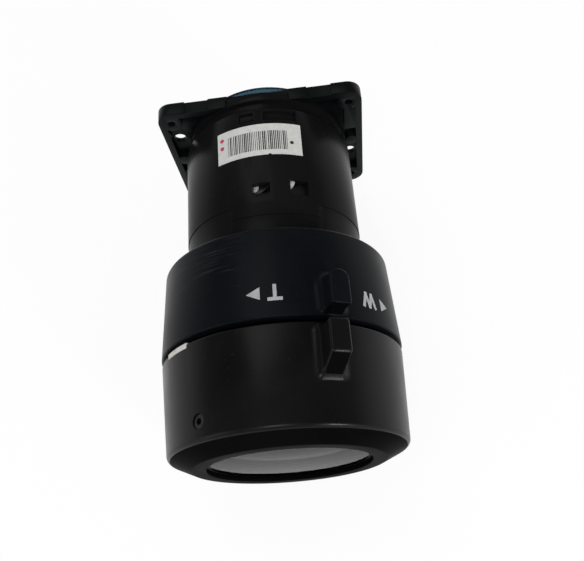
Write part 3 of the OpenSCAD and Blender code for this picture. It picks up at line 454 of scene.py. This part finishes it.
# %% The turning tree
def turning_tree():
    group = bpy.data.node_groups.new("turned_ring", "GeometryNodeTree")
    face = group.interface
    face.new_socket("Section", in_out="INPUT", socket_type="NodeSocketGeometry")
    face.new_socket("Steps", in_out="INPUT", socket_type="NodeSocketInt")
    face.new_socket("Finish", in_out="INPUT", socket_type="NodeSocketMaterial")
    face.new_socket("Ring", in_out="OUTPUT", socket_type="NodeSocketGeometry")
    tree = Wire(group)
    given = tree.add("NodeGroupInput")
    section, steps, finish = (Wire(group, given.socket.node.outputs[i]) for i in range(3))
    count = tree.add("GeometryNodeAttributeDomainSize", {0: section})
    grid = tree.add("GeometryNodeMeshGrid", {"Vertices X": count, "Vertices Y": steps + 1})
    number = tree.add("GeometryNodeInputIndex")
    row = number.math("FLOOR", (number + 0.5).math("DIVIDE", number + 0.5, steps + 1))
    column = number - row * (steps + 1)
    where = tree.add("GeometryNodeInputPosition")
    point = tree.add("GeometryNodeSampleIndex", {0: section, 1: where, 2: row}, data_type="FLOAT_VECTOR")
    parts = tree.add("ShaderNodeSeparateXYZ", {0: point})
    r, s = (Wire(group, parts.socket.node.outputs[i]) for i in range(2))
    turn = column.math("DIVIDE", column, steps) * math.tau
    place = tree.add("ShaderNodeCombineXYZ", {
        0: r * turn.math("SINE", turn), 1: s * -1, 2: r * turn.math("COSINE", turn)})
    ring = tree.add("GeometryNodeSetPosition", {0: grid, 2: place})
    ring = tree.add("GeometryNodeMergeByDistance", {0: ring, "Distance": 0.0005 * MM})
    ring = tree.add("GeometryNodeRealizeInstances", {0: ring})
    ring = tree.add("GeometryNodeSetMaterial", {0: ring, "Material": finish})
    tree.tree.links.new(ring.socket, tree.tree.nodes.new("NodeGroupOutput").inputs[0])
    return group


TURNED_RING = turning_tree()


def soft_section(corners, steps=5):
    """Points of a closed outline of (radius, station, fillet) corners, each corner rounded."""
    points = []
    neighbours = zip(corners[-1:] + corners[:-1], corners, corners[1:] + corners[:1])
    for before, (r, s, fillet), after in neighbours:
        here = Vector((r, s))
        back, ahead = Vector(before[:2]) - here, Vector(after[:2]) - here
        if not fillet:
            points.append(here)
            continue
        half = back.angle(ahead) / 2
        reach = min(fillet / math.tan(half), 0.49 * min(back.length, ahead.length))
        rounding = reach * math.tan(half)
        centre = here + (back.normalized() + ahead.normalized()).normalized() * rounding / math.sin(half)
        first, last = here + back.normalized() * reach - centre, here + ahead.normalized() * reach - centre
        for step in range(steps + 1):
            points.append(centre + first.lerp(last, step / steps).normalized() * rounding)
    return points


def turned(name, corners, finish, steps=288, hollow=True):
    """A hollow ring's section closes on itself, and a solid's section begins and ends on the axis."""
    points = soft_section(corners)
    if hollow:
        points += points[:1]
    mesh = bpy.data.meshes.new(name)
    mesh.from_pydata([(p.x * MM, p.y * MM, 0) for p in points], [], [])
    obj = add_piece(name, mesh, finish)
    turning = obj.modifiers.new("turning", "NODES")
    turning.node_group = TURNED_RING
    sockets = {item.name: item.identifier for item in TURNED_RING.interface.items_tree}
    turning[sockets["Steps"]] = steps
    turning[sockets["Finish"]] = finishes[finish]
    settle(obj)
    tidy = bmesh.new()
    tidy.from_mesh(obj.data)
    bmesh.ops.recalc_face_normals(tidy, faces=tidy.faces)
    tidy.to_mesh(obj.data)
    tidy.free()
    return obj

# %% [markdown]
# ## Cutters and tabs
# Slots and holes are cut with a Boolean. A cutter is a block bent round the axis, so that its walls are
# radial as a mould's are. A finger tab is a stack of outlines: wide at the foot, where the fillet meets the
# ring, straight in the middle, and drawn in again at the top's rounded edge.

# %% Blocks and booleans
def skin(name, layers, finish):
    """A closed body over rings of points, one above the other, with a cap at each end."""
    form = bmesh.new()
    rows = [[form.verts.new(Vector(p) * MM) for p in layer] for layer in layers]
    for low, high in zip(rows, rows[1:]):
        for i in range(len(low)):
            j = (i + 1) % len(low)
            form.faces.new((low[i], low[j], high[j], high[i]))
    form.faces.new(reversed(rows[0]))
    form.faces.new(rows[-1])
    bmesh.ops.recalc_face_normals(form, faces=form.faces)
    mesh = bpy.data.meshes.new(name)
    form.to_mesh(mesh)
    form.free()
    return add_piece(name, mesh, finish)


def at(radius, turn, station):
    angle = math.radians(turn)
    return (radius * math.sin(angle), -station, radius * math.cos(angle))


def rod(radius, station, turn, low, high, finish, steps=40):
    """A round rod that points away from the axis."""
    layers = []
    for height in (low, high):
        middle = Vector(at(height, turn, station))
        side = Vector(at(1, turn + 90, 0))
        layers.append([middle + side * radius * math.cos(k * math.tau / steps)
                       + Vector((0, -radius * math.sin(k * math.tau / steps), 0)) for k in range(steps)])
    return skin("rod", layers, finish)


def bent_block(r_low, r_high, s_low, s_high, turns, finish):
    count = max(2, int((turns[1] - turns[0]) / 1.25))
    layers = []
    for k in range(count + 1):
        turn = turns[0] + (turns[1] - turns[0]) * k / count
        layers.append([at(r_low, turn, s_low), at(r_high, turn, s_low),
                       at(r_high, turn, s_high), at(r_low, turn, s_high)])
    return skin("block", layers, finish)


def combine(obj, other, operation="DIFFERENCE"):
    boolean = obj.modifiers.new("join", "BOOLEAN")
    boolean.operation, boolean.solver, boolean.object = operation, "EXACT", other
    settle(obj)
    bpy.data.objects.remove(other)
    return obj


def tab_outline(half_w, rear, front, rear_r, front_r, steps=8):
    """Corner-rounded outline of (across, station) points."""
    points = []
    for cx, cy, radius, start in ((half_w - front_r, front - front_r, front_r, 0),
                                  (front_r - half_w, front - front_r, front_r, 90),
                                  (rear_r - half_w, rear + rear_r, rear_r, 180),
                                  (half_w - rear_r, rear + rear_r, rear_r, 270)):
        for k in range(steps + 1):
            angle = math.radians(start + 90 * k / steps)
            points.append((cx + radius * math.cos(angle), cy + radius * math.sin(angle)))
    return points


TAB_W, TAB_FOOT, TAB_EDGE, TAB_SUNK, TAB_CORNER = 4.7, 2.0, 0.55, 0.15, 0.6


def finger_tab(name, turn, top_r, surface, rear, front, feet, rear_r, finish):
    """front gives the station of the tab's front face at a height above the ring. feet are the shares of
    the foot's fillet that the rear and the front get."""
    tall = top_r - surface((rear + front(99)) / 2)
    heights = [TAB_FOOT * (1 - math.cos(k * math.pi / 16)) for k in range(9)]
    heights.append(tall - TAB_EDGE * 3)
    heights += [tall - TAB_EDGE * (1 - math.sin(k * math.pi / 12)) for k in range(7)]
    layers = []
    for height in [-TAB_SUNK, *heights]:
        foot = max(0.0, TAB_FOOT - math.sqrt(TAB_FOOT ** 2 - max(0.0, TAB_FOOT - max(height, 0)) ** 2))
        into_edge = max(0.0, height - tall + TAB_EDGE)
        edge = TAB_EDGE - math.sqrt(max(0.0, TAB_EDGE ** 2 - into_edge ** 2))
        grow = foot - edge
        outline = tab_outline(TAB_W / 2 + grow, rear + edge - foot * feet[0],
                              front(height) + foot * feet[1] - edge,
                              rear_r + grow, TAB_CORNER + foot * 0.5 + (TAB_CORNER - edge) * 0.2)
        layer = []
        for across, station in outline:
            level = surface(station) + height
            level += (top_r - tall - surface(station)) * max(0.0, height) / tall
            layer.append(at(level, turn + math.degrees(across / level), station))
        layers.append(layer)
    return skin(name, layers, finish)


def paint_shade_on_faces(obj, chosen):
    """The chosen faces get a darker copy of the black that mirrors almost nothing: painted shade."""
    obj.data.materials.append(finishes["black_painted_shade"])
    for face in obj.data.polygons:
        if chosen(face):
            face.material_index = len(obj.data.materials) - 1


def looks_ahead(face):
    return -face.normal.y > 0.75

# %% [markdown]
# ## The zoom ring
# The zoom ring widens a little towards the front and ends in a small chamfer. Under it the barrel's ribs
# carry it, so its inside is a plain bore behind a lip. Two holes at the back hold the drive screws.

# %% Zoom ring
def zoom_surface(station):
    return ZOOM_REAR_R + (ZOOM_FRONT_R - ZOOM_REAR_R) * (station - ZOOM_FROM) / (ZOOM_TO - ZOOM_FROM)


def focus_surface(station):
    return FOCUS_REAR_R + (FOCUS_FRONT_R - FOCUS_REAR_R) * (station - FOCUS_FROM) / (CORNER - FOCUS_FROM)


zoom_ring = turned("zoom_ring_soft", [
    (23.1, ZOOM_FROM, 0), (ZOOM_REAR_R, ZOOM_FROM, 0.9), (ZOOM_FRONT_R, ZOOM_TO, 0.4),
    (26.6, ZOOM_TO, 0), (26.6, 47.3, 0), (23.1, 47.3, 0)], "black_zoom")
DRIVE_STATION = 57.0
for drive_turn in (140, -140):
    combine(zoom_ring, rod(1.55, DRIVE_STATION, drive_turn, 26, 31, "black_zoom"))
    combine(zoom_ring, rod(2.45, DRIVE_STATION, drive_turn, 28.19, 31, "black_zoom"))
zoom_tab = finger_tab("zoom_tab_soft", 28, 34.6, zoom_surface, 58.9, lambda height: 67.1, (1, 0.45), 2.3,
                      "black_zoom")
# Painted shade: the tab's forward faces get the darker, non-mirroring copy of the black.
paint_shade_on_faces(zoom_tab, looks_ahead)
hand_over(zoom_ring, "zoom", "black_ring", "zoom_ring")
hand_over(zoom_tab, "zoom", "black_ring")

# %% [markdown]
# ## The focus ring
# The focus ring narrows towards the front, turns over a soft corner into a steep bevel and ends in a flat
# lip round the glass. Its tab falls to the front in a slope with a small fillet at the foot.

# %% Focus ring
focus_ring = turned("focus_ring_soft", [
    (27.2, FOCUS_FROM, 0), (FOCUS_REAR_R, FOCUS_FROM, 0.4), (FOCUS_FRONT_R, CORNER, 1.3),
    (NOSE_R, NOSE_END, 1.2), (OPENING_R, NOSE_END, 0.25), (OPENING_R, 92.8, 0), (NOSE_R, 92.8, 0),
    (27.2, 90.7, 0)], "black_ring")
combine(focus_ring, bent_block(26, 31, 69, 70.4, (-57.5, -40), "black_ring"))
GRUB_STATION, GRUB_TURNS = 87.1, (-35, 85, 205)
for grub_turn in GRUB_TURNS:
    combine(focus_ring, rod(1.65, GRUB_STATION, grub_turn, 26, 31, "black_ring"))
FOCUS_TAB_FRONT, FOCUS_SLOPE, FOCUS_TALL = 77.8, 3.6, 6.1
focus_tab = finger_tab(
    "focus_tab_soft", 25.5, 35.2, focus_surface, 70.6,
    lambda height: FOCUS_TAB_FRONT + FOCUS_SLOPE * (1 - min(1, max(0, height) / FOCUS_TALL)),
    (0.5, 0.5), 0.7, "black_ring")
# Painted shade: the nose bevel and the tab's sloping front get the darker, non-mirroring copy of the black.
paint_shade_on_faces(focus_ring, lambda face: -face.center.y > (CORNER + 0.5) * MM)
paint_shade_on_faces(focus_tab, looks_ahead)
hand_over(focus_ring, "focus", "black_ring", "focus_ring")
hand_over(focus_tab, "focus", "black_ring")

# %% [markdown]
# ## The glasses
# A lens face is part of a ball, and a mesh of few flat faces breaks up what is seen through it. So each
# glass is turned from a section whose faces are arcs. The arc follows from three numbers that a lens maker
# would measure: the clear radius, and the stations of the face's edge and of its centre.

# %% Glasses
def arc(clear, edge, centre, steps=24):
    """Points of a lens face from the axis outwards."""
    sag = edge - centre
    ball = (clear ** 2 + sag ** 2) / (2 * abs(sag))
    points = []
    for k in range(steps + 1):
        r = clear * k / steps
        points.append((r, centre + math.copysign(ball - math.sqrt(ball ** 2 - r ** 2), sag), 0))
    return points


def lens(node, body, rim_r, rear, front, finish="coated_glass"):
    section = arc(*rear) + [(rim_r, rear[1], 0.12), (rim_r, front[1], 0.12)] + arc(*front)[::-1]
    hand_over(turned(node + "_clear", section, finish, 144, hollow=False), body, "coated_glass", node)


front_rim = [(19.98, 88.2, 0.12), (19.98, 92.0, 0), (18.54, 92.0, 0), (18.54, 92.8, 0.1)]
front_section = arc(18.55, 88.2, 90.1) + front_rim + arc(18.4, 92.8, 93.2)[::-1]
hand_over(turned("front_lens_clear", front_section, "coated_glass", 144, hollow=False), "front_group",
          "coated_glass", "front_lens")
lens("middle_lens", "front_group", 19.98, (18.19, 74.0, 75.67), (18.19, 79.0, 80.25))
lens("tail_lens", "front_group", 17.49, (15.95, 61.8, 62.83), (15.95, 68.0, 70.07))
lens("rear_lens_front", "barrel", 15.54, (14.35, 4.0, 2.7), (14.35, 7.6, 6.4))
rear_rim = [(18.99, -3.1, 0.12), (18.99, -0.9, 0), (18.2, -0.9, 0), (18.2, 0.6, 0), (0, 0.6, 0)]
rear_section = arc(18.2, -3.1, -4.5) + rear_rim
rear_glass = turned("rear_lens_back_clear", rear_section, "teal_glass", 144, hollow=False)
hand_over(rear_glass, "barrel", "coated_glass", "rear_lens_back")

# %% [markdown]
# ## Screws that repeat
# Three grub screws hold the focus ring on its thread and four small screws hold the barrel on the flange.
# One screw of each kind is modelled with its driver recess, and a Geometry Nodes tree sets the others round
# the axis at equal turns. Equal parts made this way stay equal, whatever is changed on the first.

# %% The tree that repeats
def repeating_tree():
    group = bpy.data.node_groups.new("set_round_the_axis", "GeometryNodeTree")
    for name, kind in (("One", "Geometry"), ("Count", "Int"), ("Finish", "Material")):
        group.interface.new_socket(name, in_out="INPUT", socket_type="NodeSocket" + kind)
    group.interface.new_socket("All", in_out="OUTPUT", socket_type="NodeSocketGeometry")
    tree = Wire(group)
    given = tree.add("NodeGroupInput")
    one, count, finish = (Wire(group, given.socket.node.outputs[i]) for i in range(3))
    points = tree.add("GeometryNodePoints", {"Count": count})
    number = tree.add("GeometryNodeInputIndex")
    turn = number.math("DIVIDE", number, count) * math.tau
    placed = tree.add("GeometryNodeInstanceOnPoints", {
        "Points": points, "Instance": one, "Rotation": tree.add("ShaderNodeCombineXYZ", {1: turn})})
    placed = tree.add("GeometryNodeRealizeInstances", {0: placed})
    placed = tree.add("GeometryNodeSetMaterial", {0: placed, "Material": finish})
    group.links.new(placed.socket, group.nodes.new("NodeGroupOutput").inputs[0])
    return group


SET_ROUND = repeating_tree()


def set_round(obj, count, finish):
    repeat = obj.modifiers.new("repeat", "NODES")
    repeat.node_group = SET_ROUND
    sockets = {item.name: item.identifier for item in SET_ROUND.interface.items_tree}
    repeat[sockets["Count"]] = count
    repeat[sockets["Finish"]] = finishes[finish]
    return settle(obj)

# %% [markdown]
# ## The screws themselves
# A grub screw has no head, so it is a rod with a hexagonal recess that lies just under the ring's surface.
# A flange screw has a flat round head on a thin shank. A recess is cut with a Boolean, since a hexagon that
# ends inside a round face is awkward to model by hand.

# %% Grub screws and flange screws
GRUB_TOP = focus_surface(GRUB_STATION) - 0.3
grub = rod(1.58, GRUB_STATION, GRUB_TURNS[0], 26.4, GRUB_TOP, "steel")
combine(grub, rod(0.8, GRUB_STATION, GRUB_TURNS[0], GRUB_TOP - 1.1, GRUB_TOP + 1, "steel", steps=6))
grub.name = "grub_screws"
hand_over(set_round(grub, len(GRUB_TURNS), "steel"), "focus", "steel", "focus_grub_screws")


def upright_rod(radius, circle, turn, low, high, finish, steps=32):
    """A round rod along the axis, at a distance from it."""
    x, z = circle * math.sin(math.radians(turn)), circle * math.cos(math.radians(turn))
    turns = [k * math.tau / steps for k in range(steps)]
    return skin("rod", [[(x + radius * math.cos(a), -s, z + radius * math.sin(a)) for a in turns]
                        for s in (low, high)], finish)


SCREW_CIRCLE, SCREW_TURN = 20.85, 45
screw = upright_rod(1.25, SCREW_CIRCLE, SCREW_TURN, 0.0, 0.65, "steel")
combine(screw, upright_rod(0.8, SCREW_CIRCLE, SCREW_TURN, 0.6, 3.2, "steel"), "UNION")
combine(screw, upright_rod(0.55, SCREW_CIRCLE, SCREW_TURN, -0.5, 0.4, "steel", steps=6))
screw.name = "flange_screws_soft"
hand_over(set_round(screw, 4, "steel"), "barrel", "steel", "flange_screws")

# %% [markdown]
# ## The label as a sheet
# The label is a thin bent block with a small nick in its front edge, where it was pulled off its backing.

# %% Label sheet
label_sheet = bent_block(NECK_R, NECK_R + 0.09, *LABEL_STATIONS, LABEL_TURNS, "label_paper")
combine(label_sheet, rod(0.55, 22.1, 6.5, 22, 24, "label_paper", steps=6))
label_sheet.name = "label_sheet"
hand_over(label_sheet, "barrel", "label_paper", "barrel_label")

# %% [markdown]
# ## The floor
# The floor is pale and lies just under the zoom ring. It is ordinary matt paint to the light, so the lens
# keeps its shadow, and shows partly as plain white to the camera and in mirror images.

# %% Floor
FLOOR_GAP, FLOOR_GLOW = 0.0002, 0.9
floor_mesh = bpy.data.meshes.new("floor")
floor_z = start_box[0].z - FLOOR_GAP
floor_mesh.from_pydata([(x * 4, y * 4, floor_z) for x, y in ((-1, -1), (1, -1), (1, 1), (-1, 1))], [],
                       [(0, 1, 2, 3)])
floor = bpy.data.objects.new("floor", floor_mesh)
bpy.context.scene.collection.objects.link(floor)
paint, shader, tree = new_finish("floor_paint", Roughness=0.8, Specular_IOR_Level=0.1)
shade = tree.noise(lathe_places(tree)[0], 3, 2)
shade.mix((0.90, 0.90, 0.90, 1), (0.88, 0.88, 0.88, 1)).into(shader, "Base Color")
light_path = tree.add("ShaderNodeLightPath")
camera_ray, glossy_ray, clear_ray = (Wire(tree.tree, light_path.socket.node.outputs[name]) for name in (
    "Is Camera Ray", "Is Glossy Ray", "Is Transmission Ray"))
seen = camera_ray.math("MAXIMUM", camera_ray.math("MAXIMUM", camera_ray, glossy_ray), clear_ray)
glow = tree.add("ShaderNodeEmission", {"Color": (1, 1, 1, 1), "Strength": 1.0})
matt = Wire(tree.tree, shader.outputs[0])
blend = tree.add("ShaderNodeMixShader", {0: seen * FLOOR_GLOW, 1: matt, 2: glow})
blend.into(tree.tree.nodes["Material Output"], "Surface")
floor_mesh.materials.append(paint)
